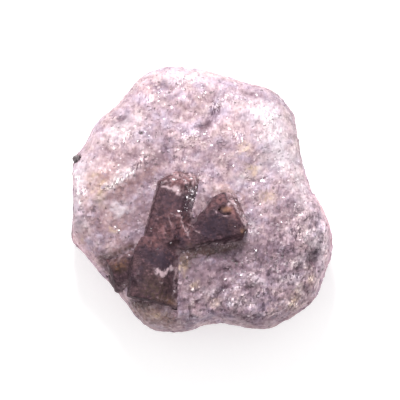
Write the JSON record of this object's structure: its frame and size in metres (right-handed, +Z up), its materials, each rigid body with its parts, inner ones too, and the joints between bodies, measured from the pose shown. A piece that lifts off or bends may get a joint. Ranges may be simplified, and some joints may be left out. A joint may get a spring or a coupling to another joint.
{
  "type": "staurolite cross",
  "caption": "Brown staurolite penetration twin crossing at about sixty degrees, half sunk in the top of a rounded loose slab of silvery pink muscovite schist.",
  "frame": {"origin": "under the middle of the specimen's box, on the surface that it lies on", "axes": "+Z up through the slab's thickness, +Y along the long prism towards its buried end, +X towards the cross prism's free arm"},
  "size_m": [0.0652, 0.0658, 0.0262],
  "materials": {
    "schist": "rough, sparkling with mica",
    "staurolite": "dull to waxy, pitted",
    "dark_grain": "worn, slightly glossy"
  },
  "bodies": {
    "root": {"schist_matrix": "schist", "staurolite_twin": "staurolite", "rim_grain": "dark_grain"}
  },
  "joints": []
}
